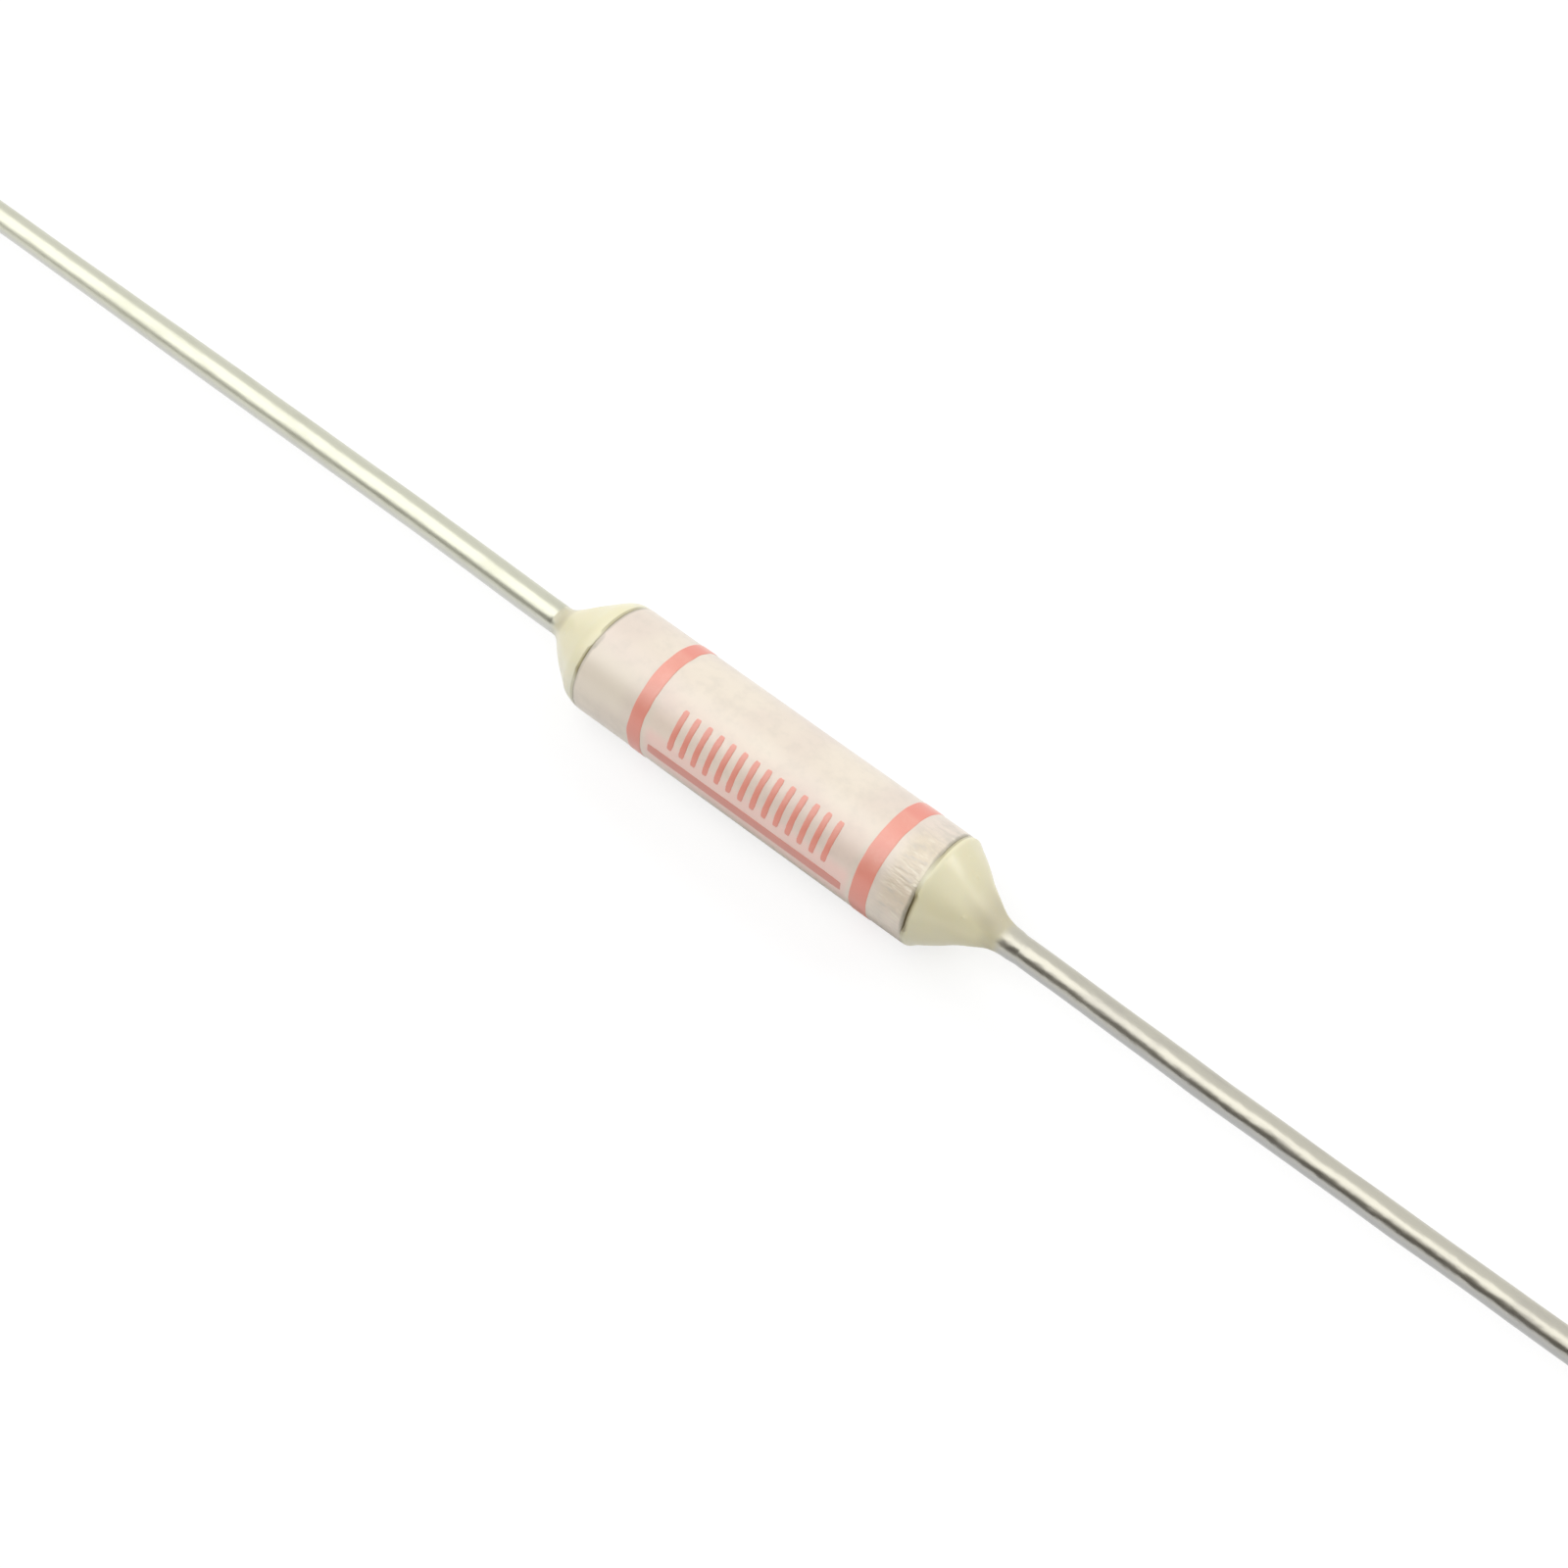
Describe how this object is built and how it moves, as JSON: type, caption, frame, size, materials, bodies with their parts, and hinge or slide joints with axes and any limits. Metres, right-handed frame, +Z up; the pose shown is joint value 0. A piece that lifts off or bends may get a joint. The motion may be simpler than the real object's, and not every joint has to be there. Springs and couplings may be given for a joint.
{
  "type": "thermal fuse",
  "caption": "Axial-lead thermal fuse: a white ceramic tube with red printed bands, resin-sealed cones at both ends and straight tinned wires.",
  "frame": {"origin": "middle of the tube, on the axis of the wires", "axes": "+X along the wires towards the end with the wider printed band, +Z up with the fuse lying on its tube, printed row facing -Y and up"},
  "size_m": [0.0526, 0.0026, 0.0026],
  "materials": {
    "ceramic": "fired cream ceramic, dull sheen",
    "seal_resin": "cured pale resin, soft gloss",
    "tinned_wire": "bright tin plating on copper wire",
    "fusible_alloy": "dull grey low-melting alloy",
    "flux": "clear amber rosin",
    "red_ink": "thin red printed ink"
  },
  "bodies": {
    "root": {"ceramic_tube": "ceramic", "end_seal_left": "seal_resin", "end_seal_right": "seal_resin", "lead_left": "tinned_wire", "lead_right": "tinned_wire", "fusible_alloy": "fusible_alloy", "flux_resin": "flux", "ink_band_left": "red_ink", "ink_band_right": "red_ink", "ink_rule": "red_ink", "ink_marks": "red_ink"}
  },
  "joints": []
}
